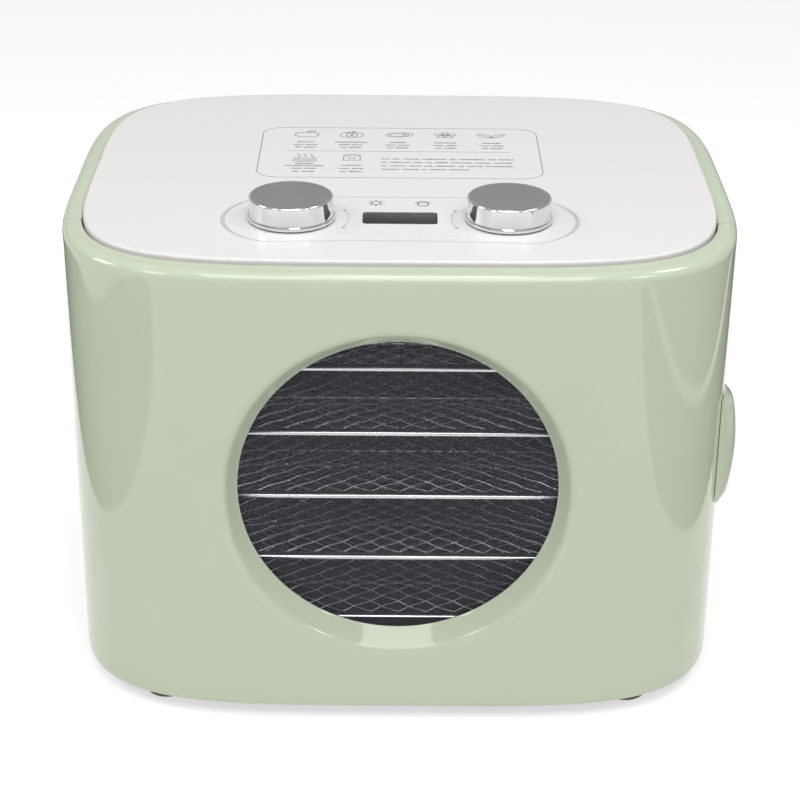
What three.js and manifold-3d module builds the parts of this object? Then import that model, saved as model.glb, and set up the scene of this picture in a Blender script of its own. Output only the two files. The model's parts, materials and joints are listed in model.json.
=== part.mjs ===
// Countertop food dehydrator: a rounded box whose front shell is a hinged door with a round
// window, five mesh trays in a drying chamber, a fan and a ring heater behind the chamber, and
// two rotary knobs with a small display on the top panel.
// Millimetres, +Z up, the front faces -Y. The origin is on the table, below the body's middle.
import * as THREE from "three";
import { mergeVertices } from "three/addons/utils/BufferGeometryUtils.js";
import Module from "manifold-3d";

// ---- Driving dimensions ----
const GAP = 0.3; // running gap between pieces that touch
const FOOT_HEIGHT = 7;
const BODY = { halfWidth: 172.5, halfDepth: 144.5, centreY: 0, squareness: 4.2 };
const BODY_BOTTOM = FOOT_HEIGHT;
const BODY_TOP = 250;
const BOTTOM_RADIUS = 3.2;
const TOP_RADIUS = 5;
const WALL = 3;
const PARTING_Y = -70; // the door is everything of the shell in front of this plane

const PANEL = { halfWidth: 162.3, halfDepth: 132.6, centreY: 1.7, squareness: 4.4 };
const PANEL_TOP = 252.4;
const PANEL_THICKNESS = 3;
const PANEL_SKIRT_BOTTOM = 240;
const DOOR_RIM_GAP = 0.9; // open line between the door's rim and the panel

const KNOB_X = 54.6;
const KNOB_Y = -74.5;
const KNOB_RADIUS = 22;
const KNOB_BOTTOM = 253.2;
const KNOB_TOP = 265;
const DISPLAY = { width: 37.7, depth: 17, y: -72.5 };

const WINDOW_Z = 130.6;
const WINDOW_RADIUS = 80.6;
const WINDOW_BEVEL_RADIUS = 88.7;
const WINDOW_BEVEL_DEPTH = 11.5;
const GLASS_RADIUS = 85;
const GLASS_FRONT = -132.7;
const GLASS_BACK = -129.3;

const CHAMBER = { halfWidth: 139, front: -112, back: 90, bottom: 22, top: 214, sheet: 2 };
const TRAY_COUNT = 5;
const TRAY_FIRST_Z = 42;
const TRAY_PITCH = 36;
const TRAY = { halfWidth: 137.5, front: -114, back: 86, height: 2.6, rim: 6, corner: 18 };
const RAIL = { depth: 7.5, thickness: 3 };

const FAN_Z = 118;
const FAN_RADIUS = 52;
const HINGE = { x: -168.7, y: -71.7, bottom: 104, top: 174, radius: 1.5, bore: 0.95, pin: 0.7 };
const HANDLE = { bottom: 102, top: 161.5, front: -92, back: -71.5, end: 4 };
const FOOT = { x: 122, y: 114, radius: 11.5 };
const REAR_COVER = { halfSize: 73, z: 122, seat: 139.8, outer: 143.1, corner: 8 };
const INLET = { x: -60, z: 33, halfWidth: 14.7, halfHeight: 10.7 };

// ---- Solid helpers ----
const wasm = await Module();
wasm.setup();

// A closed three.js geometry as a solid that can be joined and cut.
function solid(geometry) {
  geometry.deleteAttribute("normal");
  geometry.deleteAttribute("uv");
  const merged = mergeVertices(geometry, 1e-4);
  const vertProperties = merged.getAttribute("position").array;
  const triVerts = new Uint32Array(merged.index.array);
  return new wasm.Manifold(new wasm.Mesh({ numProp: 3, vertProperties, triVerts }));
}

// A solid's surface as a flat-shaded three.js geometry.
function surfaceOf(body) {
  const { vertProperties, triVerts } = body.getMesh();
  const geometry = new THREE.BufferGeometry();
  geometry.setAttribute("position", new THREE.BufferAttribute(vertProperties, 3));
  geometry.setIndex(new THREE.BufferAttribute(triVerts, 1));
  const flat = geometry.toNonIndexed();
  flat.computeVertexNormals();
  return flat;
}

// A box from its lowest to its highest corner.
function box([x0, y0, z0], [x1, y1, z1]) {
  const geometry = new THREE.BoxGeometry(x1 - x0, y1 - y0, z1 - z0);
  return solid(geometry.translate((x0 + x1) / 2, (y0 + y1) / 2, (z0 + z1) / 2));
}

// A body of revolution about the vertical line at x, y. The profile is [radius, z] pairs.
function turnedZ(profile, x, y, segments = 32) {
  const points = profile.map(([radius, z]) => new THREE.Vector2(radius, z));
  const geometry = new THREE.LatheGeometry(points, segments).rotateX(Math.PI / 2);
  return solid(geometry.translate(x, y, 0));
}

// A body of revolution about a line along Y at x, z. The profile is [radius, y] pairs.
function turnedY(profile, x, z, segments = 32) {
  const points = profile.map(([radius, y]) => new THREE.Vector2(radius, y));
  return solid(new THREE.LatheGeometry(points, segments).translate(x, 0, z));
}

// Upright and lying cylinders, as turned bodies.
function post(radius, x, y, z0, z1, segments = 24) {
  return turnedZ([[0, z0], [radius, z0], [radius, z1], [0, z1]], x, y, segments);
}

function plug(radius, x, z, y0, y1, segments = 24) {
  return turnedY([[0, y0], [radius, y0], [radius, y1], [0, y1]], x, z, segments);
}

// A rounded rectangle about a centre.
function roundedRectangle(halfWidth, halfHeight, radius, x = 0, y = 0) {
  const shape = new THREE.Shape();
  const corners = [[1, -1, -0.5], [1, 1, 0], [-1, 1, 0.5], [-1, -1, 1]];
  for (const [sx, sy, start] of corners) {
    const centreX = x + sx * (halfWidth - radius);
    const centreY = y + sy * (halfHeight - radius);
    shape.absarc(centreX, centreY, radius, start * Math.PI, (start + 0.5) * Math.PI, false);
  }
  return shape;
}

// A flat shape raised from z0 to z1.
function lyingPlate(shape, z0, z1, curveSegments = 4) {
  const options = { depth: z1 - z0, bevelEnabled: false, curveSegments };
  return solid(new THREE.ExtrudeGeometry(shape, options).translate(0, 0, z0));
}

// A shape drawn in X and Z, thickened from y0 to y1.
function standingPlate(shape, y0, y1, curveSegments = 4) {
  const options = { depth: y1 - y0, bevelEnabled: false, curveSegments };
  const geometry = new THREE.ExtrudeGeometry(shape, options);
  return solid(geometry.rotateX(Math.PI / 2).translate(0, y1, 0));
}

// A shape drawn in Y and Z, thickened from x0 to x1.
function sidePlate(shape, x0, x1) {
  const geometry = new THREE.ExtrudeGeometry(shape, { depth: x1 - x0, bevelEnabled: false });
  return solid(geometry.rotateX(Math.PI / 2).rotateZ(Math.PI / 2).translate(x0, 0, 0));
}

// ---- The body's plan outline ----
const signedPower = (value, power) => Math.sign(value) * Math.abs(value) ** power;

// Half the width of a plan outline at a given y.
function halfWidthAt(plan, y) {
  const across = Math.abs((y - plan.centreY) / plan.halfDepth) ** plan.squareness;
  return plan.halfWidth * (1 - across) ** (1 / plan.squareness);
}

// The superellipse of a plan, moved inwards by inset.
function outline(plan, inset, steps = 64) {
  const power = 2 / plan.squareness;
  return Array.from({ length: steps }, (_, i) => {
    const turn = (i / steps) * 2 * Math.PI;
    const x = (plan.halfWidth - inset) * signedPower(Math.cos(turn), power);
    const y = (plan.halfDepth - inset) * signedPower(Math.sin(turn), power);
    return new THREE.Vector2(x, y + plan.centreY);
  });
}

// A closed body through layers of points, from the lowest layer to the highest.
function loft(layers) {
  const count = layers[0].points.length;
  const positions = [];
  const index = [];
  for (const { points, z } of layers) points.forEach((p) => positions.push(p.x, p.y, z));
  const last = layers.length - 1;
  for (const { points, z } of [layers[0], layers[last]]) {
    const x = points.reduce((sum, p) => sum + p.x, 0) / count;
    const y = points.reduce((sum, p) => sum + p.y, 0) / count;
    positions.push(x, y, z);
  }
  const bottomCentre = layers.length * count;
  for (let i = 0; i < count; i++) {
    const j = (i + 1) % count;
    for (let k = 0; k < last; k++) {
      const low = k * count;
      const high = low + count;
      index.push(low + i, low + j, high + j, low + i, high + j, high + i);
    }
    index.push(bottomCentre, j, i);
    index.push(bottomCentre + 1, last * count + i, last * count + j);
  }
  const geometry = new THREE.BufferGeometry();
  geometry.setAttribute("position", new THREE.Float32BufferAttribute(positions, 3));
  geometry.setIndex(index);
  return solid(geometry);
}

// A plan outline raised from z0 to z1, straight up.
function straightBlock(plan, inset, z0, z1) {
  const points = outline(plan, inset);
  return loft([{ points, z: z0 }, { points, z: z1 }]);
}

// A plan outline raised from z0 to z1 with rounded bottom and top edges.
function roundedBlock(plan, z0, z1, bottomRadius, topRadius, arcSteps = 4) {
  const layers = [];
  for (let i = 0; i <= arcSteps; i++) {
    const angle = (i / arcSteps) * (Math.PI / 2);
    const inset = bottomRadius * (1 - Math.sin(angle));
    layers.push({ points: outline(plan, inset), z: z0 + bottomRadius * (1 - Math.cos(angle)) });
  }
  for (let i = 0; i <= arcSteps; i++) {
    const angle = (i / arcSteps) * (Math.PI / 2);
    const inset = topRadius * (1 - Math.cos(angle));
    layers.push({ points: outline(plan, inset), z: z1 - topRadius * (1 - Math.sin(angle)) });
  }
  return loft(layers);
}

// ---- Finishes ----
const finish = (color, roughness, metalness = 0) => ({ color, roughness, metalness });
const GREEN = finish(0xc1cbb4, 0.3);
const WHITE = finish(0xebebe8, 0.45);
const DARK = finish(0x393b40, 0.6);
const BLACK = finish(0x1c1c1e, 0.3);
const RUBBER = finish(0x5a6658, 0.85);
const CHROME = finish(0xd8d9db, 0.12, 1);
const STEEL = finish(0xb9bbbe, 0.35, 1);
const CLEAR = finish(0xcfd6d6, 0.05);
const BOARD = finish(0x2f6b45, 0.6);

const product = new THREE.Group();

function add(name, body, look) {
  const material = new THREE.MeshStandardMaterial({
    color: look.color,
    roughness: look.roughness,
    metalness: look.metalness,
  });
  const mesh = new THREE.Mesh(surfaceOf(body), material);
  mesh.name = name;
  product.add(mesh);
}

// ---- Outer shells ----
const REACH = 400; // longer than the object, for cutting boxes
const outerBlock = roundedBlock(BODY, BODY_BOTTOM, BODY_TOP, BOTTOM_RADIUS, TOP_RADIUS);
const hollow = straightBlock(BODY, WALL, BODY_BOTTOM + WALL, BODY_TOP - WALL);
const PAN_INSET = 5;

// The shell with its hollow, open at the top for the panel and at the bottom for the pan.
function openShell(panelGap, panGap) {
  return outerBlock
    .subtract(hollow)
    .subtract(straightBlock(PANEL, -panelGap, PANEL_SKIRT_BOTTOM, PANEL_TOP + WALL))
    .subtract(straightBlock(BODY, PAN_INSET - panGap, 0, BODY_BOTTOM + WALL + 1));
}

// Notch in both shells for the hinge barrel.
function hingeNotch(y0, y1) {
  return box([-REACH, y0, HINGE.bottom - GAP], [-164, y1, HINGE.top + GAP]);
}

// An ellipsoid recess behind the grip, where the fingers reach in.
function fingerScoop(grow) {
  const geometry = new THREE.SphereGeometry(1, 20, 12);
  geometry.scale(10 + grow, 24 + grow, 34 + grow);
  return solid(geometry.translate(175, PARTING_Y + 6, (HANDLE.bottom + HANDLE.top) / 2));
}

// The pocket, its frame and the opening behind it that take the rear cover.
function rearCoverSeat(housing) {
  const { halfSize, z, seat, corner } = REAR_COVER;
  const square = (grow) => roundedRectangle(halfSize + grow, halfSize + grow, corner, 0, z);
  const frameWidth = 5;
  const ledgeWidth = 8;
  return housing
    .add(standingPlate(square(frameWidth), seat - 3.3, seat + 1.2))
    .subtract(standingPlate(square(GAP), seat, REACH))
    .subtract(standingPlate(square(-ledgeWidth), 130, REACH));
}

// The housing's outer edge beside the hinge is chamfered, so that the open door clears it.
function hingeChamfer(size) {
  const edgeX = -halfWidthAt(BODY, PARTING_Y);
  const edgeY = PARTING_Y + GAP / 2;
  const triangle = new THREE.Shape([
    new THREE.Vector2(edgeX - size, edgeY - 0.1),
    new THREE.Vector2(edgeX + size, edgeY - 0.1),
    new THREE.Vector2(edgeX - size, edgeY + 2 * size),
  ]);
  return lyingPlate(triangle, 0, REACH);
}

function makeRearHousing() {
  const behind = box([-REACH, PARTING_Y + GAP / 2, 0], [REACH, REACH, REACH]);
  const { x, z, halfWidth, halfHeight } = INLET;
  const inletHole = box(
    [x - halfWidth - GAP, 120, z - halfHeight - GAP],
    [x + halfWidth + GAP, REACH, z + halfHeight + GAP],
  );
  const shell = openShell(GAP, GAP)
    .add(fingerScoop(2).intersect(outerBlock))
    .subtract(fingerScoop(0))
    .intersect(behind);
  const housing = rearCoverSeat(shell)
    .subtract(inletHole)
    .subtract(hingeChamfer(1))
    .subtract(hingeNotch(PARTING_Y - 1, PARTING_Y + 4));
  add("rear_housing", housing, GREEN);
}

// What the door's outer edge loses so that it turns about the hinge without a wider gap.
function hingeRounding() {
  const { x, y } = HINGE;
  const radius = PARTING_Y - GAP / 2 - y;
  return box([-REACH, y, 0], [x, REACH, REACH]).subtract(post(radius, x, y, 0, REACH, 32));
}

function makeDoorShell() {
  const ahead = box([-REACH, -REACH, 0], [REACH, PARTING_Y - GAP / 2, REACH]);
  const boss = plug(WINDOW_BEVEL_RADIUS + 3, 0, WINDOW_Z, -REACH, GLASS_BACK, 48);
  const face = -BODY.halfDepth;
  const funnel = [
    [0, face - WINDOW_BEVEL_DEPTH],
    [2 * WINDOW_BEVEL_RADIUS - WINDOW_RADIUS, face - WINDOW_BEVEL_DEPTH],
    [WINDOW_RADIUS, face + WINDOW_BEVEL_DEPTH],
    [WINDOW_RADIUS, GLASS_BACK + 1],
    [0, GLASS_BACK + 1],
  ];
  const bevel = turnedY(funnel, 0, WINDOW_Z, 48);
  const glassPocket = plug(GLASS_RADIUS + GAP, 0, WINDOW_Z, GLASS_FRONT - GAP, -120, 48);
  const door = openShell(DOOR_RIM_GAP, 1)
    .add(boss.intersect(outerBlock))
    .subtract(bevel)
    .subtract(glassPocket)
    .intersect(ahead)
    .subtract(hingeRounding())
    .subtract(hingeNotch(HINGE.y - 4, PARTING_Y + 1));
  add("door_shell", door, GREEN);
}

// ---- Door pieces ----
function makeWindow() {
  add("window_glass", plug(GLASS_RADIUS, 0, WINDOW_Z, GLASS_FRONT, GLASS_BACK, 48), CLEAR);
  const outlineShape = roundedRectangle(117, 104, 14, 0, WINDOW_Z - 5);
  const clamp = standingPlate(outlineShape, GLASS_BACK + GAP, GLASS_BACK + 2.7)
    .subtract(plug(GLASS_RADIUS - 1, 0, WINDOW_Z, -REACH, 0, 48));
  add("door_inner_panel", clamp, DARK);
}

// One level of the grip: it follows the door's side inside and stands out by reach outside.
function gripSection(reach) {
  const { front, back } = HANDLE;
  const middle = (front + back) / 2;
  const side = (y) => halfWidthAt(BODY, y) + GAP;
  const outside = halfWidthAt(BODY, -75) + reach;
  return [
    new THREE.Vector2(side(front), front),
    new THREE.Vector2(side(front) + 0.8 + reach * 0.25, front),
    new THREE.Vector2(outside, middle),
    new THREE.Vector2(outside, back),
    new THREE.Vector2(side(back), back),
    new THREE.Vector2(side(middle), middle),
  ];
}

function makeHandle() {
  const { bottom, top, end } = HANDLE;
  const endReach = 0.8;
  const shoulderReach = 3.8;
  const middleReach = 6.8;
  const layers = [{ points: gripSection(endReach), z: bottom }];
  const steps = 6;
  for (let i = 0; i <= steps; i++) {
    const across = (2 * i) / steps - 1;
    const reach = middleReach - (middleReach - shoulderReach) * across ** 2;
    const z = bottom + end + ((top - bottom - 2 * end) * i) / steps;
    layers.push({ points: gripSection(reach), z });
  }
  layers.push({ points: gripSection(endReach), z: top });
  add("door_handle", loft(layers), GREEN);
}

// The hinge lies in the shells' wall thickness: a knuckle and a leaf on each side, and the pin.
function makeHinge() {
  const { x, y, bottom, top, radius } = HINGE;
  const third = (top - bottom) / 3;
  const knuckle = (z0, z1) => post(radius, x, y, z0, z1, 16);
  const bore = post(HINGE.bore, x, y, 0, REACH, 16);
  const lowZ = bottom + third;
  const highZ = top - third;
  const leafBack = -165.4;
  const doorLeafBack = -161.4;

  let bodyLeaf = box([-167.2, y + 3.6, bottom], [leafBack, y + 21.7, top]);
  for (const [z0, z1] of [[bottom, lowZ], [highZ, top]]) {
    bodyLeaf = bodyLeaf.add(knuckle(z0, z1)).add(box([x - 0.6, y + 1, z0], [leafBack, y + 3.7, z1]));
  }
  add("body_hinge_leaf", bodyLeaf.subtract(bore), STEEL);

  const doorLeaf = box([doorLeafBack - 1.6, y - 16, bottom + 2], [doorLeafBack, y - 3, top - 2])
    .add(box([x - 0.6, y - 3.4, lowZ + GAP], [doorLeafBack, y - 1, highZ - GAP]))
    .add(knuckle(lowZ + GAP, highZ - GAP))
    .subtract(bore);
  add("door_hinge_leaf", doorLeaf, STEEL);
  add("hinge_pin", post(HINGE.pin, x, y, bottom + 0.5, top - 0.5, 16), STEEL);
}

function makeMagnets() {
  for (const [place, z] of [["upper", 205], ["lower", 45]]) {
    const back = PARTING_Y - GAP;
    add(`door_magnet_${place}`, box([157, back - 4, z - 10], [166.2, back, z + 10]), DARK);
    const front = PARTING_Y + GAP;
    add(`strike_plate_${place}`, box([157, front, z - 10], [166.8, front + 3, z + 10]), STEEL);
  }
}

// ---- Top panel and controls ----
function makeTopPanel() {
  const skirtWall = 2.5;
  const panel = roundedBlock(PANEL, PANEL_SKIRT_BOTTOM, PANEL_TOP, 0.2, 1.5, 2)
    .subtract(straightBlock(PANEL, skirtWall, 0, PANEL_TOP - PANEL_THICKNESS))
    .subtract(post(4.5, -KNOB_X, KNOB_Y, 0, REACH))
    .subtract(post(4.5, KNOB_X, KNOB_Y, 0, REACH))
    .subtract(displayPlate(0, 0, REACH));
  add("top_panel", panel, WHITE);

  const trayBottom = CHAMBER.top + CHAMBER.sheet - 0.1;
  const trayTop = PANEL_TOP - PANEL_THICKNESS - GAP;
  const tray = straightBlock(PANEL, 6.5, trayBottom, trayTop)
    .subtract(straightBlock(PANEL, 8.5, trayBottom + 2, REACH));
  add("control_tray", tray, DARK);
}

// The display's rounded rectangle, smaller by shrink on each side.
function displayPlate(shrink, z0, z1) {
  const halfWidth = DISPLAY.width / 2 - shrink;
  const halfDepth = DISPLAY.depth / 2 - shrink;
  return lyingPlate(roundedRectangle(halfWidth, halfDepth, 2, 0, DISPLAY.y), z0, z1);
}

function makeDisplay() {
  add("display_lens", displayPlate(GAP, PANEL_TOP - 2.2, PANEL_TOP - 0.1), BLACK);
  const top = PANEL_TOP - 2.2 - GAP;
  add("display_module", box([-17, DISPLAY.y - 6.5, 238], [17, DISPLAY.y + 6.5, top]), DARK);
}

function makeControlBoard() {
  const bottom = 236;
  let board = box([-80, -105, bottom], [80, -45, bottom + 1.6]);
  for (const x of [-74, 74]) {
    for (const y of [-99, -51]) {
      board = board.add(post(3, x, y, 218.2, bottom + 0.5, 12));
    }
  }
  add("control_board", board, BOARD);
}

function makeEncoder(name, x) {
  const bottom = 237.9;
  const body = box([x - 6.5, KNOB_Y - 6.5, bottom], [x + 6.5, KNOB_Y + 6.5, bottom + 7])
    .add(post(4.2, x, KNOB_Y, bottom + 6, 251))
    .subtract(post(3.4, x, KNOB_Y, bottom + 5, REACH));
  add(name, body, STEEL);
}

// Knob with a wide flange, a tall polished side, a bevel ring and a flat top, on its shaft.
function makeKnob(name, x) {
  const profile = [
    [0, 246],
    [3, 246],
    [3, KNOB_BOTTOM],
    [KNOB_RADIUS, KNOB_BOTTOM],
    [KNOB_RADIUS, KNOB_BOTTOM + 1.6],
    [KNOB_RADIUS - 0.8, KNOB_BOTTOM + 2.2],
    [KNOB_RADIUS - 0.8, KNOB_TOP - 1.2],
    [KNOB_RADIUS - 2, KNOB_TOP],
    [0, KNOB_TOP],
  ];
  add(name, turnedZ(profile, x, KNOB_Y, 32), CHROME);
}

// ---- Base and feet ----
function makeBase() {
  const rimTop = BODY_BOTTOM + 9;
  const floorTop = BODY_BOTTOM + 3;
  let pan = straightBlock(BODY, PAN_INSET, BODY_BOTTOM, rimTop)
    .subtract(straightBlock(BODY, PAN_INSET + 2.5, floorTop, REACH));
  for (const x of [-100, 100]) {
    pan = pan.add(box([x - 2, -105, floorTop - 1], [x + 2, 85, 19.7]));
  }
  add("base_pan", pan, DARK);
}

function makeFeet() {
  const { radius } = FOOT;
  const profile = [
    [0, 0],
    [radius - 2.5, 0],
    [radius - 0.7, 0.7],
    [radius, 2.5],
    [radius, FOOT_HEIGHT - GAP],
    [0, FOOT_HEIGHT - GAP],
  ];
  for (const [row, y] of [["front", -FOOT.y], ["rear", FOOT.y]]) {
    for (const [side, x] of [["left", -FOOT.x], ["right", FOOT.x]]) {
      add(`foot_${row}_${side}`, turnedZ(profile, x, y, 24), RUBBER);
    }
  }
}

// ---- Drying chamber ----
const trayZ = (level) => TRAY_FIRST_Z + level * TRAY_PITCH;

function makeChamberSide(name, side) {
  const { halfWidth, front, back, bottom, top, sheet } = CHAMBER;
  const span = (near, far) => [Math.min(side * near, side * far), Math.max(side * near, side * far)];
  const [x0, x1] = span(halfWidth, halfWidth + sheet);
  let wall = box([x0, front, bottom + GAP], [x1, back, top - GAP]);
  const [railStart, railEnd] = span(halfWidth - RAIL.depth, halfWidth + 1);
  for (let level = 0; level < TRAY_COUNT; level++) {
    const railTop = trayZ(level) - GAP;
    wall = wall.add(box([railStart, front + 4, railTop - RAIL.thickness], [railEnd, back - 2, railTop]));
  }
  add(name, wall, DARK);
}

function makeChamber() {
  const { halfWidth, front, back, bottom, top, sheet } = CHAMBER;
  const outer = halfWidth + sheet;
  add("chamber_floor", box([-outer, front, bottom - sheet], [outer, back, bottom]), DARK);
  add("chamber_ceiling", box([-outer, front, top], [outer, back, top + sheet - 0.4]), DARK);
  makeChamberSide("chamber_side_left", -1);
  makeChamberSide("chamber_side_right", 1);
  const plateFront = back + GAP;
  const plateTop = top + sheet - 0.4;
  const backPlate = box([-outer, plateFront, bottom - sheet], [outer, plateFront + 1.6, plateTop])
    .subtract(plug(64, 0, FAN_Z, 0, REACH, 32));
  add("chamber_back", backPlate, DARK);
}

// The sheet's side view: flat lands on two heights, joined by slopes.
function corrugatedShape(length, z, depth, thickness) {
  const land = 28;
  const slope = 10;
  const valley = 22;
  const upper = [new THREE.Vector2(0, z)];
  const stops = [[land, 0], [slope, -depth], [valley, -depth], [slope, 0]];
  let at = 0;
  let height = 0;
  for (let i = 0; at < length; i++) {
    const [step, nextHeight] = stops[i % stops.length];
    const run = Math.min(step, length - at);
    height += ((nextHeight - height) * run) / step;
    at += run;
    upper.push(new THREE.Vector2(at, z + height));
  }
  const lower = upper.map((p) => new THREE.Vector2(p.x, p.y - thickness)).reverse();
  return new THREE.Shape([...upper, ...lower]);
}

function makeTray(level) {
  const { halfWidth, front, back, height, rim, corner } = TRAY;
  const z = trayZ(level);
  const halfDepth = (back - front) / 2;
  const centreY = (back + front) / 2;
  const ring = (inset) => {
    return roundedRectangle(halfWidth - inset, halfDepth - inset, corner - inset, 0, centreY);
  };
  const frame = lyingPlate(ring(0), z, z + height).subtract(lyingPlate(ring(rim), 0, REACH));
  add(`tray_${level + 1}_frame`, frame, STEEL);

  const sheetLength = back - front - 2 * rim;
  const shape = corrugatedShape(sheetLength, z + 1.6, 3, 0.6);
  const sheet = sidePlate(shape, -halfWidth, halfWidth)
    .translate([0, front + rim, 0])
    .intersect(lyingPlate(ring(rim + GAP), 0, REACH));
  add(`tray_${level + 1}_mesh`, sheet, STEEL);
}

// ---- Fan, heater and power ----
function makeImpeller() {
  const hubRadius = 19;
  const boreRadius = 3;
  const hub = [
    [0, 97],
    [hubRadius - 3, 97],
    [hubRadius, 100],
    [hubRadius, 112],
    [boreRadius, 112],
    [boreRadius, 118.2],
    [0, 118.2],
  ];
  let fan = turnedY(hub, 0, FAN_Z, 28);
  const blades = 7;
  const bladeRoot = hubRadius - 3;
  const bladePitch = 0.75;
  for (let i = 0; i < blades; i++) {
    const blade = new THREE.BoxGeometry(FAN_RADIUS - bladeRoot, 1.6, 17);
    blade.rotateX(bladePitch).translate((FAN_RADIUS + bladeRoot) / 2, 105, 0);
    blade.rotateY((i / blades) * 2 * Math.PI).translate(0, 0, FAN_Z);
    fan = fan.add(solid(blade));
  }
  add("fan_impeller", fan, DARK);
}

function makeFanGuard() {
  const front = CHAMBER.back + GAP + 1.6 + GAP;
  const slotPitch = 12;
  const slotHalf = 1.9;
  let guard = plug(70, 0, FAN_Z, front, front + 1.5, 36);
  for (let row = -4; row <= 4; row++) {
    const z = FAN_Z + row * slotPitch;
    const half = Math.sqrt(60 ** 2 - (row * slotPitch) ** 2);
    guard = guard.subtract(box([-half, 0, z - slotHalf], [half, REACH, z + slotHalf]));
  }
  add("fan_guard", guard, DARK);
}

function makeFanDrive() {
  const shroudRadius = 74;
  const shroudWall = 1.2;
  const shroudFront = 94.2;
  const shroudBack = 118.2;
  const shroudProfile = [
    [9, shroudBack - shroudWall],
    [shroudRadius - shroudWall, shroudBack - shroudWall],
    [shroudRadius - shroudWall, shroudFront],
    [shroudRadius, shroudFront],
    [shroudRadius, shroudBack],
    [9, shroudBack],
    [9, shroudBack - shroudWall],
  ];
  add("fan_shroud", turnedY(shroudProfile, 0, FAN_Z, 36), STEEL);
  const motorFront = shroudBack + GAP;
  const motor = plug(28, 0, FAN_Z, motorFront, 134, 28).add(plug(8, 0, FAN_Z, 133, 138.5, 20));
  add("fan_motor", motor, STEEL);
  const heater = new THREE.TorusGeometry(66, 3, 8, 36).rotateX(Math.PI / 2);
  add("heater_ring", solid(heater.translate(0, 104, FAN_Z)), STEEL);
  add("thermostat", plug(8, 52, FAN_Z + 32, motorFront, motorFront + 7.5, 20), BLACK);
  add("thermal_fuse", box([-56, motorFront, FAN_Z + 34], [-42, motorFront + 4, FAN_Z + 40]), WHITE);
}

function makePowerBoard() {
  const bottom = 13;
  let board = box([5, 97, bottom], [95, 128, bottom + 1.6]);
  const components = [
    [12, 101, 22, 22, 14],
    [40, 102, 18, 18, 20],
    [64, 104, 12, 12, 12],
    [80, 102, 10, 20, 16],
  ];
  for (const [x, y, width, depth, height] of components) {
    board = board.add(box([x, y, bottom + 1], [x + width, y + depth, bottom + 1.6 + height]));
  }
  for (const x of [10, 90]) {
    board = board.add(post(3, x, 112, BODY_BOTTOM + 3 + GAP, bottom + 0.5, 12));
  }
  add("power_board", board, BOARD);
}

function makePowerInlet() {
  const { x, z, halfWidth, halfHeight } = INLET;
  const face = 143.9;
  let inlet = box([x - halfWidth, 124, z - halfHeight], [x + halfWidth, face, z + halfHeight])
    .subtract(standingPlate(roundedRectangle(8.8, 4.6, 4.5, x, z), 131.5, REACH));
  for (const side of [-1, 1]) {
    inlet = inlet.add(plug(1.2, x + side * 4.4, z, 131, 141, 12));
  }
  add("power_inlet", inlet, BLACK);
}

function makeRearCover() {
  const { halfSize, z, seat, outer, corner } = REAR_COVER;
  let cover = standingPlate(roundedRectangle(halfSize, halfSize, corner, 0, z), seat + GAP, outer);
  for (let row = -5; row <= 5; row++) {
    cover = cover.subtract(box([-48, 0, z + row * 9 - 1.6], [48, REACH, z + row * 9 + 1.6]));
  }
  add("rear_cover", cover, GREEN);
  const reach = halfSize - 8;
  const screws = [
    ["upper_left", -1, 1],
    ["upper_right", 1, 1],
    ["lower_left", -1, -1],
    ["lower_right", 1, -1],
  ];
  for (const [place, sx, sz] of screws) {
    const head = plug(3, sx * reach, z + sz * reach, outer + GAP, outer + 1.3, 16);
    add(`cover_screw_${place}`, head, STEEL);
  }
}

// ---- Assembly ----
makeRearHousing();
makeDoorShell();
makeWindow();
makeHandle();
makeHinge();
makeMagnets();
makeTopPanel();
makeDisplay();
makeControlBoard();
makeEncoder("temperature_encoder", -KNOB_X);
makeEncoder("timer_encoder", KNOB_X);
makeKnob("temperature_knob", -KNOB_X);
makeKnob("timer_knob", KNOB_X);
makeBase();
makeFeet();
makeChamber();
for (let level = 0; level < TRAY_COUNT; level++) makeTray(level);
makeImpeller();
makeFanGuard();
makeFanDrive();
makePowerBoard();
makePowerInlet();
makeRearCover();

export default product;
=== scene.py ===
import json
import math
import random
from collections import namedtuple

import bmesh
import bpy
import numpy as np
from mathutils import Matrix, Vector


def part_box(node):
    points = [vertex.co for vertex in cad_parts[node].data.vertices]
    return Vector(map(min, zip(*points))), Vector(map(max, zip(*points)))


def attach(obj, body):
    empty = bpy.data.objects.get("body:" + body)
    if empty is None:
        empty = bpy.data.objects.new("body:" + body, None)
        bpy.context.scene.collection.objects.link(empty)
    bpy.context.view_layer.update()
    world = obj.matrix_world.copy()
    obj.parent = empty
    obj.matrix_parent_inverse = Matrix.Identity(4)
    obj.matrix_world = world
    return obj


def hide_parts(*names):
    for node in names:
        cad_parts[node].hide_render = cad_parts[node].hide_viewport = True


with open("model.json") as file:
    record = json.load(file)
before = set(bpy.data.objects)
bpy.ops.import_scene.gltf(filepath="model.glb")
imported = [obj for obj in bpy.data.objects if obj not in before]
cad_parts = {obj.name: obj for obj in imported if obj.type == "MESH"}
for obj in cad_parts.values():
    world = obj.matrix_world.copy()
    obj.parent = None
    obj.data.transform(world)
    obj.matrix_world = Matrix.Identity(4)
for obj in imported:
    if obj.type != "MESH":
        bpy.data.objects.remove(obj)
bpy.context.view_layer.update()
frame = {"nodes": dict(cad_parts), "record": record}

MM = 0.001


def box_mm(node):
    """Lowest and highest corner of a CAD node, in millimetres."""
    low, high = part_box(node)
    return np.array(low) / MM, np.array(high) / MM


def centre_of(node):
    """The middle of a CAD node's box, in millimetres."""
    low, high = box_mm(node)
    return (low + high) / 2


# ---- Camera, in metres and radians ----
CAMERA_TARGET = Vector((0.0011, 0.0, 0.1164))
CAMERA_DISTANCE = 1.1859
CAMERA_PITCH = 0.4451
CAMERA_TURN = 0.0038
CAMERA_ROLL = 0.0093
CAMERA_LENS = 95.03


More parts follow.
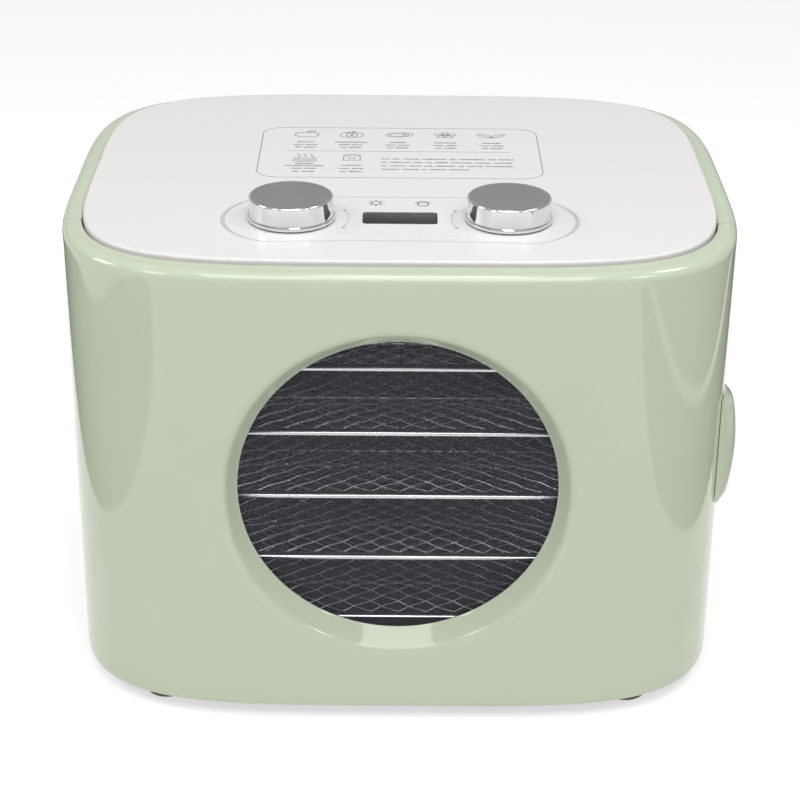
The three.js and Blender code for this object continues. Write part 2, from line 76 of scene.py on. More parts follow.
def make_camera():
    pitch, turn, roll = CAMERA_PITCH, CAMERA_TURN, CAMERA_ROLL
    level_right = Vector((math.cos(turn), -math.sin(turn), 0))
    level_ahead = Vector((math.sin(turn), math.cos(turn), 0))
    ahead = math.cos(pitch) * level_ahead - Vector((0, 0, math.sin(pitch)))
    level_up = level_right.cross(ahead)
    right = math.cos(roll) * level_right + math.sin(roll) * level_up
    up = math.cos(roll) * level_up - math.sin(roll) * level_right
    data = bpy.data.cameras.new("photo_camera")
    data.lens = CAMERA_LENS
    data.sensor_width = 36
    data.clip_start = 0.05
    data.clip_end = 30
    camera = bpy.data.objects.new("photo_camera", data)
    turned_axes = Matrix((right, up, -ahead)).transposed().to_4x4()
    camera.matrix_world = Matrix.Translation(CAMERA_TARGET - CAMERA_DISTANCE * ahead) @ turned_axes
    bpy.context.scene.collection.objects.link(camera)
    bpy.context.scene.camera = camera


make_camera()

# ---- Driving dimensions, in millimetres ----
Plan = namedtuple("Plan", "half_width half_depth centre_y squareness")
rear_low, rear_high = box_mm("rear_housing")
panel_low, panel_high = box_mm("top_panel")
glass_low, glass_high = box_mm("window_glass")

BODY = Plan(rear_high[0], rear_high[1], 0.0, 4.2)
PANEL = Plan(panel_high[0], (panel_high[1] - panel_low[1]) / 2, (panel_high[1] + panel_low[1]) / 2, 4.4)
BODY_BOTTOM = rear_low[2]
BODY_TOP = rear_high[2]
PANEL_TOP = panel_high[2]
PANEL_SKIRT_BOTTOM = panel_low[2]
DOOR_BACK = box_mm("door_shell")[1][1]
HOUSING_FRONT = rear_low[1]
WALL = 3.0
GAP = 0.3
BOTTOM_RADIUS = 3.2
TOP_RADIUS = 5.0
RIM_ROUNDING = 0.4
DOOR_RIM_GAP = 0.9
DOOR_PAN_INSET = 4.0
HOUSING_RIM_GAP = 0.3
HOUSING_PAN_INSET = 4.7
ARC_STEPS = 10
CORNER_STEPS = 48
CUT_LOW = -10.0
CUT_HIGH = 400.0

WINDOW_Z = (glass_low[2] + glass_high[2]) / 2
GLASS_RADIUS = (glass_high[2] - glass_low[2]) / 2
GLASS_FRONT = glass_low[1]
GLASS_BACK = glass_high[1]
WINDOW_RADIUS = 80.6
BEVEL_RADIUS = 88.7
BEVEL_DEPTH = 11.5
BEVEL_ROUNDING = 3.0
BOSS_RADIUS = BEVEL_RADIUS + 3
SQUARE_HALF = 104.0
SQUARE_STEPS = 64
COVER_CORNER = 8.0
TRAY_LEVELS = range(1, 6)


# ---- Outlines ----
def outline_y(plan, inset, x, side):
    """The y of a plan outline at x, on the front (side -1) or the back (side 1)."""
    across = np.clip(np.abs(x) / (plan.half_width - inset), 0, 1) ** plan.squareness
    depth = (plan.half_depth - inset) * (1 - across) ** (1 / plan.squareness)
    return plan.centre_y + side * depth


def half_width_at(plan, y):
    across = abs((y - plan.centre_y) / plan.half_depth) ** plan.squareness
    return plan.half_width * (1 - across) ** (1 / plan.squareness)


def resampled(points, count):
    """Points spread evenly along a polyline."""
    lengths = np.concatenate([[0], np.cumsum(np.linalg.norm(np.diff(points, axis=0), axis=1))])
    stops = np.linspace(0, lengths[-1], count)
    return np.stack([np.interp(stops, lengths, points[:, k]) for k in range(2)], axis=1)


def corner_curve(plan, inset, cut_y, side):
    """A plan's outline from the plane y = cut_y round its corner to the square's edge."""
    width, depth = plan.half_width - inset, plan.half_depth - inset
    power = plan.squareness / 2
    cut = side * (cut_y - plan.centre_y) / depth
    first = math.copysign(math.asin(abs(cut) ** power), cut)
    last = math.acos((SQUARE_HALF / width) ** power)
    turn = np.linspace(first, last, 600)
    x = width * np.cos(turn) ** (1 / power)
    y = plan.centre_y + side * depth * np.sign(np.sin(turn)) * np.abs(np.sin(turn)) ** (1 / power)
    return resampled(np.stack([x, y], axis=1), CORNER_STEPS + 1)


def half_outline(plan, inset, cut_y, side):
    """A plan's outline on one side of the plane y = cut_y, from its left end to its right end."""
    corner = corner_curve(plan, inset, cut_y, side)
    x = np.linspace(-SQUARE_HALF, SQUARE_HALF, SQUARE_STEPS + 1)
    middle = np.stack([x, outline_y(plan, inset, x, side)], axis=1)
    return np.concatenate([corner * [-1, 1], middle[1:-1], corner[::-1]])


def whole_outline(plan, inset, steps=256):
    turn = np.linspace(0, 2 * np.pi, steps, endpoint=False)
    power = 2 / plan.squareness
    x = (plan.half_width - inset) * np.sign(np.cos(turn)) * np.abs(np.cos(turn)) ** power
    y = (plan.half_depth - inset) * np.sign(np.sin(turn)) * np.abs(np.sin(turn)) ** power
    return np.stack([x, y + plan.centre_y], axis=1)


def rounded_rectangle(half_width, half_height, radius, steps=8):
    """Points of a rounded rectangle about the origin, turning left."""
    points = []
    for sx, sy, start in ((1, -1, -0.5), (1, 1, 0.0), (-1, 1, 0.5), (-1, -1, 1.0)):
        for i in range(steps + 1):
            angle = (start + 0.5 * i / steps) * math.pi
            x = sx * (half_width - radius) + radius * math.cos(angle)
            y = sy * (half_height - radius) + radius * math.sin(angle)
            points.append((x, y))
    return np.array(points)


def quarter_round(radius, steps):
    """Points of a quarter circle, each as its distances from the two faces that it joins."""
    angle = np.linspace(0, math.pi / 2, steps + 1)
    return np.stack([radius * (1 - np.sin(angle)), radius * (1 - np.cos(angle))], axis=1)


# ---- Mesh building ----
class Skin:
    """Faces collected patch by patch, welded where the patches meet."""

    def __init__(self):
        self.vertices = []
        self.faces = []

    def add(self, points):
        first = len(self.vertices)
        self.vertices.extend(np.asarray(points, float).reshape(-1, 3).tolist())
        return first

    def grid(self, rows, closed=False, skip=None):
        """Quads through an array of rows of points. closed joins each row's end to its start."""
        rows = np.asarray(rows, float)
        count, width = rows.shape[:2]
        first = self.add(rows)
        for k in range(count - 1):
            for i in range(width if closed else width - 1):
                if skip and skip(k, i):
                    continue
                j = (i + 1) % width
                a, b = first + k * width, first + (k + 1) * width
                self.faces.append((a + i, a + j, b + j, b + i))
        return self

    def cap(self, loop):
        first = self.add(loop)
        self.faces.append(tuple(range(first, first + len(loop))))
        return self

    def loft(self, rings):
        """A closed body through closed rings of points, with flat ends."""
        return self.grid(rings, closed=True).cap(rings[0]).cap(rings[-1])

    def piece(self, name, weld=2e-3):
        mesh = bpy.data.meshes.new(name)
        bm = bmesh.new()
        made = [bm.verts.new(v) for v in self.vertices]
        for face in self.faces:
            bm.faces.new([made[i] for i in face])
        bmesh.ops.remove_doubles(bm, verts=bm.verts, dist=weld)
        bmesh.ops.dissolve_degenerate(bm, edges=bm.edges, dist=weld / 10)
        bmesh.ops.recalc_face_normals(bm, faces=bm.faces)
        bmesh.ops.scale(bm, vec=(MM, MM, MM), verts=bm.verts)
        bm.to_mesh(mesh)
        bm.free()
        made_object = bpy.data.objects.new(name, mesh)
        bpy.context.scene.collection.objects.link(made_object)
        return made_object


def at_height(points, z):
    return np.column_stack([points, np.full(len(points), z)])


def upright(points, y, centre=(0, 0)):
    """A flat outline stood up in x and z, at one y."""
    return np.column_stack([points[:, 0] + centre[0], np.full(len(points), y), points[:, 1] + centre[1]])


def turned(profile, centre, axis, steps):
    """Rings of a body of revolution. The profile is (radius, along) pairs from end to end."""
    turn = np.linspace(0, 2 * np.pi, steps, endpoint=False)
    circle = np.stack([np.cos(turn), np.sin(turn)], axis=1)
    if axis == "z":
        return [at_height(radius * circle + centre, along) for radius, along in profile]
    return [upright(radius * circle, along, centre) for radius, along in profile]


def boolean(target, cutter, operation):
    """Joins or cuts target with cutter, and removes the cutter."""
    modifier = target.modifiers.new("shape", "BOOLEAN")
    modifier.operation = operation
    modifier.solver = "EXACT"
    modifier.object = cutter
    graph = bpy.context.evaluated_depsgraph_get()
    made = bpy.data.meshes.new_from_object(target.evaluated_get(graph))
    target.modifiers.clear()
    target.data = made
    bpy.data.objects.remove(cutter)


def lying(points, z0, z1):
    """A flat shape in x and y, thickened from z0 to z1, for joining or cutting."""
    return Skin().loft([at_height(points, z0), at_height(points, z1)]).piece("cutter")


def standing(points, y0, y1, centre):
    """A flat shape in x and z, thickened from y0 to y1, for joining or cutting."""
    return Skin().loft([upright(points, y0, centre), upright(points, y1, centre)]).piece("cutter")


def block(low, high):
    """A plain box, only used for cutting."""
    x0, y0, z0 = low
    x1, y1, z1 = high
    return lying(np.array([(x0, y0), (x1, y0), (x1, y1), (x0, y1)]), z0, z1)


def smooth(piece, angle=30):
    piece.data.shade_smooth()
    piece.data.set_sharp_from_angle(angle=math.radians(angle))


def place(piece, body, slot, *materials, nodes=(), angle=30):
    """Gives a made piece its body, replaced nodes and materials. The slot is not used."""
    smooth(piece, angle)
    kept = [polygon.material_index for polygon in piece.data.polygons]
    piece.data.materials.clear()
    for material in materials:
        piece.data.materials.append(material)
    for polygon, index in zip(piece.data.polygons, kept):
        polygon.material_index = min(index, len(materials) - 1)
    if nodes:
        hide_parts(*nodes)
    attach(piece, body)


# ---- Materials ----
def node(tree, kind, **values):
    made = tree.nodes.new("ShaderNode" + kind)
    for key, value in values.items():
        if key in made.inputs:
            made.inputs[key].default_value = value
        else:
            setattr(made, key, value)
    return made


def noise(tree, scale, detail=2.0, stretch=(1, 1, 1)):
    """A noise texture in the object's own metres."""
    where = node(tree, "TexCoord")
    mapping = node(tree, "Mapping")
    mapping.inputs["Scale"].default_value = stretch
    texture = node(tree, "TexNoise", Scale=scale, Detail=detail)
    tree.links.new(where.outputs["Object"], mapping.inputs["Vector"])
    tree.links.new(mapping.outputs["Vector"], texture.inputs["Vector"])
    return texture.outputs["Fac"]


def ranged(tree, source, from_low, from_high, to_low, to_high, curve="LINEAR"):
    """A value mapped from one range to another, clamped at both ends."""
    mapped = node(tree, "MapRange", interpolation_type=curve)
    limits = {"From Min": from_low, "From Max": from_high, "To Min": to_low, "To Max": to_high}
    for key, value in limits.items():
        mapped.inputs[key].default_value = value
    tree.links.new(source, mapped.inputs["Value"])
    return mapped.outputs["Result"]


def spread(tree, source, low, high):
    """A noise's middle range mapped to low..high."""
    return ranged(tree, source, 0.3, 0.7, low, high)


GRAIN_DEPTH = 0.00005


def finish(
    name,
    colour,
    roughness,
    metallic=0.0,
    mottle=0.03,
    mottle_scale=25.0,
    rough_spread=0.03,
    rough_scale=60.0,
    grain=0.1,
    grain_scale=1500.0,
    stretch=(1, 1, 1),
    alpha=1.0,
    specular=0.5,
):
    """A procedural surface: mottled colour, uneven gloss and fine relief."""
    material = bpy.data.materials.new(name)
    material.use_nodes = True
    tree = material.node_tree
    shader = next(n for n in tree.nodes if n.type == "BSDF_PRINCIPLED")
    shader.inputs["Metallic"].default_value = metallic
    shader.inputs["Alpha"].default_value = alpha
    shader.inputs["Specular IOR Level"].default_value = specular
    mix = node(tree, "Mix", data_type="RGBA")
    share, darker, lighter = mix.inputs[0], mix.inputs[6], mix.inputs[7]
    darker.default_value = [c * (1 - mottle) for c in colour] + [1.0]
    lighter.default_value = [min(1.0, c * (1 + mottle)) for c in colour] + [1.0]
    tree.links.new(spread(tree, noise(tree, mottle_scale, 4.0, stretch), 0, 1), share)
    tree.links.new(mix.outputs[2], shader.inputs["Base Color"])
    low, high = max(0.02, roughness - rough_spread), roughness + rough_spread
    uneven = spread(tree, noise(tree, rough_scale, 3.0, stretch), low, high)
    tree.links.new(uneven, shader.inputs["Roughness"])
    bump = node(tree, "Bump", Strength=grain, Distance=GRAIN_DEPTH)
    tree.links.new(noise(tree, grain_scale, 3.0, stretch), bump.inputs["Height"])
    tree.links.new(bump.outputs["Normal"], shader.inputs["Normal"])
    return material


def ink_finish(name, colour, roughness, mottle):
    return finish(name, colour, roughness, mottle=mottle, grain=0.2, grain_scale=3000)


GREEN = finish(
    "mint_gloss", (0.435, 0.488, 0.372), 0.065, mottle=0.012, grain=0.03,
    grain_scale=300, rough_spread=0.015,
)
WHITE = finish(
    "panel_satin", (0.61, 0.605, 0.595), 0.42, mottle=0.012, grain=0.25,
    grain_scale=2600, mottle_scale=900,
)
CHAMBER = finish(
    "chamber_coating", (0.014, 0.0145, 0.017), 0.55, mottle=0.12, grain=0.35, grain_scale=1200
)
BASE = finish("base_moulding", (0.05, 0.05, 0.055), 0.55, mottle=0.1, grain=0.4, grain_scale=900)
RUBBER = finish(
    "foot_rubber_compound", (0.085, 0.105, 0.08), 0.75, mottle=0.1, grain=0.4, grain_scale=1800
)
LENS = finish(
    "display_gloss", (0.022, 0.022, 0.023), 0.16, mottle=0.08, grain=0.03,
    grain_scale=700, specular=0.2,
)
BOARD = finish("solder_mask", (0.04, 0.17, 0.075), 0.4, mottle=0.15, grain=0.5, grain_scale=1100)
STEEL = finish("plated_steel", (0.60, 0.61, 0.62), 0.34, 1.0, mottle=0.06, grain=0.25, grain_scale=900)
WIRE = finish(
    "tray_wire_steel", (0.90, 0.91, 0.93), 0.3, 1.0, mottle=0.06, grain=0.15, grain_scale=2500
)
TRIM = finish(
    "tray_trim_steel", (0.78, 0.79, 0.81), 0.26, 1.0, 0.04, grain=0.2,
    grain_scale=500, stretch=(0.08, 1, 1),
)
CERAMIC = finish("fuse_ceramic", (0.78, 0.78, 0.74), 0.35, mottle=0.04, grain=0.3)
MAGNET = finish("magnet_ferrite", (0.03, 0.03, 0.032), 0.5, mottle=0.15, grain=0.5, grain_scale=1500)
# The pane's bluish grey base colour, seen at alpha 0.07, is a painted haze: it stands in for the glass's
# reflection over the dark chamber.
GLASS = finish(
    "window_pane_painted_haze", (0.2, 0.22, 0.26), 0.03, mottle=0.02, rough_spread=0.01, grain=0.02, alpha=0.07
)
CHROME = finish(
    "knob_polish", (0.82, 0.82, 0.83), 0.07, 1.0, mottle=0.02,
    rough_spread=0.02, grain=0.03, grain_scale=600,
)
SATIN = finish(
    "knob_satin_top", (0.50, 0.505, 0.515), 0.36, 1.0, mottle=0.03,
    mottle_scale=300, grain=0.15, grain_scale=3000,
)
INK = ink_finish("print_ink", (0.15, 0.15, 0.148), 0.5, 0.05)
KEY_INK = ink_finish("key_ink", (0.06, 0.06, 0.062), 0.5, 0.05)
FAINT_INK = ink_finish("print_ink_faint", (0.58, 0.58, 0.575), 0.5, 0.04)
RING_INK = ink_finish("dial_ring_ink", (0.42, 0.425, 0.43), 0.45, 0.04)
FLOOR = finish(
    "studio_floor", (0.45, 0.45, 0.45), 0.9, mottle=0.008, mottle_scale=3,
    grain=0.05, grain_scale=300, specular=0,
)


# ---- Door and housing shells ----
def shell_section(rim_gap, pan_inset):
    """The closed section of a shell wall as (plan, inset, z): up the outside and down the inside."""
    low_square, high_square = WINDOW_Z - SQUARE_HALF, WINDOW_Z + SQUARE_HALF
    floor_top = BODY_BOTTOM + WALL
    section = [(BODY, pan_inset, floor_top), (BODY, pan_inset, BODY_BOTTOM)]
    for inset, rise in quarter_round(BOTTOM_RADIUS, ARC_STEPS)[:-1]:
        section.append((BODY, inset, BODY_BOTTOM + rise))
    wall_bottom, wall_top = BODY_BOTTOM + BOTTOM_RADIUS, BODY_TOP - TOP_RADIUS
    heights = np.concatenate([
        np.linspace(wall_bottom, low_square, 6)[:-1],
        np.linspace(low_square, high_square, SQUARE_STEPS + 1),
        np.linspace(high_square, wall_top, 4)[1:],
    ])
    section += [(BODY, 0.0, z) for z in heights]
    for drop, inset in quarter_round(TOP_RADIUS, ARC_STEPS)[1:]:
        section.append((BODY, inset, BODY_TOP - drop))
    for out, drop in quarter_round(RIM_ROUNDING, 3):
        section.append((PANEL, -rim_gap - out, BODY_TOP - drop))
    ceiling = BODY_TOP - WALL
    section.append((PANEL, -rim_gap, ceiling))
    inside = np.concatenate([
        np.linspace(ceiling, high_square, 4)[:-1],
        np.linspace(high_square, low_square, SQUARE_STEPS + 1),
        np.linspace(low_square, floor_top, 6)[1:],
    ])
    return section + [(BODY, WALL, z) for z in inside]


def shell(section, cut_y, side, with_window):
    """A shell's closed skin on one side of the parting plane, with a square left open for the window."""
    rows = np.array([at_height(half_outline(plan, inset, cut_y, side), z) for plan, inset, z in section])
    rows = np.concatenate([rows, rows[:1]])
    low_square, high_square = WINDOW_Z - SQUARE_HALF, WINDOW_Z + SQUARE_HALF
    corner = (rows.shape[1] - 1 - SQUARE_STEPS) // 2
    middle = range(corner, corner + SQUARE_STEPS)

    def in_square(k, i):
        plan, inset, z = section[k]
        next_z = section[(k + 1) % len(section)][2]
        inside = low_square - 0.01 < min(z, next_z) and max(z, next_z) < high_square + 0.01
        return inside and plan is BODY and i in middle

    skin = Skin().grid(rows, skip=in_square if with_window else None)
    skin.cap(rows[:-1, 0])
    skin.cap(rows[:-1, -1])
    return skin


def square_perimeter():
    """The square's edge points in x and z, in the same places as the shell's own grid."""
    across = np.linspace(-SQUARE_HALF, SQUARE_HALF, SQUARE_STEPS + 1)
    up = across + WINDOW_Z
    low, high = up[0], up[-1]
    sides = [
        [(x, low) for x in across[:-1]],
        [(SQUARE_HALF, z) for z in up[:-1]],
        [(x, high) for x in across[:0:-1]],
        [(-SQUARE_HALF, z) for z in up[:0:-1]],
    ]
    return np.array([point for side in sides for point in side])


def bevel_edge(cos, lip_y, slope):
    """The radius at which the bevel's cone meets the door's outer face, found by halving."""
    low, high = np.full(cos.shape, WINDOW_RADIUS), np.full(cos.shape, BEVEL_RADIUS + 2)
    for _ in range(40):
        middle = (low + high) / 2
        behind = outline_y(BODY, 0, middle * cos, -1) > lip_y + slope * (middle - WINDOW_RADIUS)
        high = np.where(behind, middle, high)
        low = np.where(behind, low, middle)
    return (low + high) / 2


def window_rings():
    """Closed rings of points from the door's outer face, through the window bevel, to its inner face."""
    square = square_perimeter()
    angle = np.arctan2(square[:, 1] - WINDOW_Z, square[:, 0])
    cos, sin = np.cos(angle), np.sin(angle)
    lip_y = BEVEL_DEPTH - BODY.half_depth
    slope = BEVEL_DEPTH / (WINDOW_RADIUS - BEVEL_RADIUS)

    def ring(radius, y):
        radius = np.broadcast_to(radius, angle.shape)
        return np.stack([radius * cos, np.broadcast_to(y, angle.shape), WINDOW_Z + radius * sin], axis=1)

    def from_square(radius, inset):
        """Rings on the door's face from the square's edge to a circle."""
        made = []
        circle = np.stack([radius * cos, WINDOW_Z + radius * sin], axis=1)
        for share in np.linspace(0, 1, 12):
            points = square * (1 - share) + circle * share
            y = outline_y(BODY, inset, points[:, 0], -1)
            made.append(np.stack([points[:, 0], y, points[:, 1]], axis=1))
        return made

    edge = bevel_edge(cos, lip_y, slope)
    fall = np.array([WINDOW_RADIUS - BEVEL_RADIUS, BEVEL_DEPTH])
    down = fall / math.hypot(*fall)
    outer = edge + BEVEL_ROUNDING
    outer_y = outline_y(BODY, 0, outer * cos, -1)
    edge_y = lip_y + slope * (edge - WINDOW_RADIUS)
    inner = edge + down[0] * BEVEL_ROUNDING
    inner_y = edge_y + down[1] * BEVEL_ROUNDING
    rings = from_square(outer, 0)
    for t in np.linspace(0, 1, 11)[1:]:
        radius = (1 - t) ** 2 * outer + 2 * t * (1 - t) * edge + t**2 * inner
        y = (1 - t) ** 2 * outer_y + 2 * t * (1 - t) * edge_y + t**2 * inner_y
        rings.append(ring(radius, y))
    lip_radius, lip_front = WINDOW_RADIUS + 0.5, lip_y - 0.7
    for share in np.linspace(0, 1, 6)[1:]:
        rings.append(ring(inner + (lip_radius - inner) * share, inner_y + (lip_front - inner_y) * share))
    rings.append(ring(WINDOW_RADIUS + 0.15, lip_y - 0.4))
    rings.append(ring(WINDOW_RADIUS, lip_y - 0.2))
    rings.append(ring(WINDOW_RADIUS, lip_y))
    pocket = GLASS_RADIUS + GAP
    for radius, y in ((pocket, lip_y), (pocket, GLASS_BACK), (BOSS_RADIUS, GLASS_BACK)):
        rings.append(ring(radius, y))
    return rings + from_square(np.full(angle.shape, BOSS_RADIUS), WALL)[::-1]


def hinge_notch(front, back):
    """The space for the hinge's barrel and leaves, through the wall at the left."""
    low, high = box_mm("body_hinge_leaf")
    inner_x = -164
    return block((-BODY.half_width - 10, front, low[2] - GAP), (inner_x, back, high[2] + GAP))


def hinge_rounding():
    """What the door's outer edge loses so that it turns about the hinge without a wider gap."""
    x, y = centre_of("hinge_pin")[:2]
    radius = DOOR_BACK - y
    turn = np.linspace(math.pi, math.pi / 2, 13)
    arc = np.stack([x + radius * np.cos(turn), y + radius * np.sin(turn)], axis=1)
    reach = 30
    points = np.concatenate([[(x - reach, y)], arc, [(x, y + reach), (x - reach, y + reach)]])
    return lying(points, CUT_LOW, CUT_HIGH)


def make_door_shell():
    skin = shell(shell_section(DOOR_RIM_GAP, DOOR_PAN_INSET), DOOR_BACK, -1, True)
    skin.grid(window_rings(), closed=True)
    door = skin.piece("door_shell_surface")
    boolean(door, hinge_rounding(), "DIFFERENCE")
    boolean(door, hinge_notch(centre_of("hinge_pin")[1] - 4, DOOR_BACK + 2), "DIFFERENCE")
    place(door, "door", "body_green", GREEN, nodes=["door_shell"], angle=25)


def ellipsoid(centre, radii):
    steps = 48
    latitude = np.pi * (np.arange(1, steps) / steps - 0.5)
    profile = zip(np.cos(latitude), np.sin(latitude))
    rings = [ring * radii + centre for ring in turned(profile, (0, 0), "z", steps * 2)]
    return Skin().loft(rings).piece("cutter")


def hinge_chamfer(size):
    """The housing's outer edge beside the hinge, cut back so that the open door clears it."""
    x, y = -half_width_at(BODY, DOOR_BACK + 0.15), HOUSING_FRONT
    points = np.array([(x - size, y - 0.1), (x + size, y - 0.1), (x - size, y + 2 * size)])
    return lying(points, CUT_LOW, CUT_HIGH)


def add_finger_recess(housing):
    """The scoop behind the grip, with a wall of its own inside the housing."""
    centre = np.array([175, -64, centre_of("door_handle")[2]])
    radii = np.array([10.0, 24.0, 34.0])
    scoop_wall = ellipsoid(centre, radii + 2)
    outer_x = half_width_at(BODY, HOUSING_FRONT) - 1.2
    boolean(scoop_wall, block((150, HOUSING_FRONT, 60), (outer_x, 0, 200)), "INTERSECT")
    boolean(housing, scoop_wall, "UNION")
    boolean(housing, ellipsoid(centre, radii), "DIFFERENCE")


def cut_rear(housing):
    """The rear cover's seat and opening, and the hole for the power inlet."""
    cover_low, cover_high = box_mm("rear_cover")
    half = (cover_high[0] - cover_low[0]) / 2
    middle = (0, (cover_low[2] + cover_high[2]) / 2)
    behind = BODY.half_depth + 15.5
    levels = (
        (half + 5, 136.5, 141, "UNION"),
        (half + GAP, cover_low[1] - GAP, behind, "DIFFERENCE"),
        (half - 8, 130, behind, "DIFFERENCE"),
    )
    for reach, front, back, operation in levels:
        square = rounded_rectangle(reach, reach, COVER_CORNER)
        boolean(housing, standing(square, front, back, middle), operation)
    low, high = box_mm("power_inlet")
    inlet = block((low[0] - GAP, 120, low[2] - GAP), (high[0] + GAP, behind, high[2] + GAP))
    boolean(housing, inlet, "DIFFERENCE")


def make_housing():
    skin = shell(shell_section(HOUSING_RIM_GAP, HOUSING_PAN_INSET), HOUSING_FRONT, 1, False)
    housing = skin.piece("rear_housing_surface")
    add_finger_recess(housing)
    cut_rear(housing)
    boolean(housing, hinge_chamfer(1.0), "DIFFERENCE")
    boolean(housing, hinge_notch(HOUSING_FRONT - 2, HOUSING_FRONT + 3.85), "DIFFERENCE")
    place(housing, "housing", "body_green", GREEN, nodes=["rear_housing"], angle=25)


make_door_shell()
make_housing()


# ---- Door parts ----
def make_glass():
    chamfer = 0.4
    inner_ring = GLASS_RADIUS - 20
    profile = [
        (inner_ring, GLASS_FRONT),
        (GLASS_RADIUS - chamfer, GLASS_FRONT),
        (GLASS_RADIUS, GLASS_FRONT + chamfer),
        (GLASS_RADIUS, GLASS_BACK - chamfer),
        (GLASS_RADIUS - chamfer, GLASS_BACK),
        (inner_ring, GLASS_BACK),
    ]
    glass = Skin().loft(turned(profile, (0, WINDOW_Z), "y", 160)).piece("window_glass_pane")
    place(glass, "door", "window_glass", GLASS, nodes=["window_glass"])


def make_handle():
    low, high = box_mm("door_handle")
    front, back, bottom, top = low[1], high[1], low[2], high[2]
    crest_y = front + 12
    wall_x = half_width_at(BODY, -75)
    widest = high[0] - wall_x
    shoulder = widest - 2.8
    end_reach = 0.8
    end = 3.6

    def section(reach, z):
        """One level of the grip: out from the front, over the crest, and back along the door."""
        outside = wall_x + reach
        first = half_width_at(BODY, front) + GAP
        points = []
        for i in range(11):
            angle = math.pi / 2 * i / 10
            x = first + (outside - first) * math.sin(angle)
            points.append((x, front + (crest_y - front) * (1 - math.cos(angle))))
        for to_back, to_side in quarter_round(min(1.4, reach * 0.6), 5):
            points.append((outside - to_side, back - to_back))
        for y in np.linspace(back, front, 8):
            points.append((half_width_at(BODY, y) + GAP, y))
        return at_height(np.array(points), z)

    ends = []
    for share in (0.0, 0.08, 0.5, 0.9, 1.0):
        bend = share - 0.06 * math.sin(math.pi * share)
        ends.append((end_reach + (shoulder - end_reach) * share, end * bend))
    rings = [section(reach, bottom + rise) for reach, rise in ends]
    for share in np.linspace(0, 1, 28)[1:-1]:
        reach = shoulder + (widest - shoulder) * math.sin(math.pi * share) ** 0.8
        rings.append(section(reach, bottom + end + (top - bottom - 2 * end) * share))
    rings += [section(reach, top - rise) for reach, rise in ends[::-1]]
    grip = Skin().loft(rings).piece("door_grip")
    place(grip, "door", "body_green", GREEN, nodes=["door_handle"])


make_glass()
make_handle()


# ---- Top panel and controls ----
KNOB_HOLE = 4.5
KNOB_LIFT = 0.8


def make_panel():
    bottom_round, top_round = 0.3, 1.5
    skirt, thickness, flat_edge = 2.5, 3, 6
    rings = [at_height(whole_outline(PANEL, skirt), PANEL_TOP - thickness)]
    rings.append(at_height(whole_outline(PANEL, skirt), PANEL_SKIRT_BOTTOM))
    rings.append(at_height(whole_outline(PANEL, bottom_round), PANEL_SKIRT_BOTTOM))
    rings.append(at_height(whole_outline(PANEL, 0), PANEL_SKIRT_BOTTOM + bottom_round))
    for drop, inset in quarter_round(top_round, 8):
        rings.append(at_height(whole_outline(PANEL, inset), PANEL_TOP - drop))
    rings.append(at_height(whole_outline(PANEL, flat_edge), PANEL_TOP))
    panel = Skin().loft(rings).piece("top_panel_cover")
    for knob in ("temperature_knob", "timer_knob"):
        hole = turned([(KNOB_HOLE, CUT_LOW), (KNOB_HOLE, CUT_HIGH)], centre_of(knob)[:2], "z", 48)
        boolean(panel, Skin().loft(hole).piece("cutter"), "DIFFERENCE")
    low, high = box_mm("display_lens")
    half = (high - low) / 2 + GAP
    window = rounded_rectangle(half[0], half[1], 2) + centre_of("display_lens")[:2]
    boolean(panel, lying(window, CUT_LOW, CUT_HIGH), "DIFFERENCE")
    place(panel, "housing", "panel_white", WHITE, nodes=["top_panel"])


def make_display():
    low, high = box_mm("display_lens")
    half = (high - low) / 2
    bottom, top = low[2], high[2]
    rings = []
    for inset, z in ((0.2, bottom), (0, bottom + 0.2), (0, top - 0.3), (0.1, top - 0.1), (0.35, top)):
        points = rounded_rectangle(half[0] - inset, half[1] - inset, 1.7 - inset)
        rings.append(at_height(points + centre_of("display_lens")[:2], z))
    lens = Skin().loft(rings).piece("display_window")
    place(lens, "housing", "display_black", LENS, nodes=["display_lens"])


def make_knob(node_name, body):
    """A polished knob with a foot flange, a narrow bevel at the top and a satin top face."""
    low, high = box_mm(node_name)
    centre = centre_of(node_name)[:2]
    radius, top = (high[0] - low[0]) / 2, high[2]
    bottom = PANEL_TOP + KNOB_LIFT
    side = radius - 0.8
    profile = [(3, low[2] + 0.4), (3, bottom), (radius - 0.3, bottom), (radius, bottom + 0.3)]
    profile += [(radius, bottom + 1.4), (radius - 0.15, bottom + 1.75), (side + 0.1, bottom + 2.0)]
    profile += [(side, bottom + 2.3), (side, top - 0.9), (side - 0.06, top - 0.6)]
    profile += [(side - 0.25, top - 0.3), (side - 0.5, top - 0.08), (side - 0.7, top)]
    profile += [(side - 0.85, top - 0.1), (side - 1.05, top - 0.14)]
    rings = turned([(2.6, low[2])] + profile, centre, "z", 128)
    knob = Skin().loft(rings).piece(node_name + "_turned")
    for polygon in knob.data.polygons:
        middle = polygon.center / MM
        reach = math.hypot(middle.x - centre[0], middle.y - centre[1])
        polygon.material_index = 1 if middle.z > top - 0.2 and reach < side - 1.0 else 0
    place(knob, body, "knob_chrome", CHROME, SATIN, nodes=[node_name])


make_panel()
make_display()
make_knob("temperature_knob", "temperature_dial")
make_knob("timer_knob", "timer_dial")


# ---- Prints on the panel ----
chance = random.Random(7)


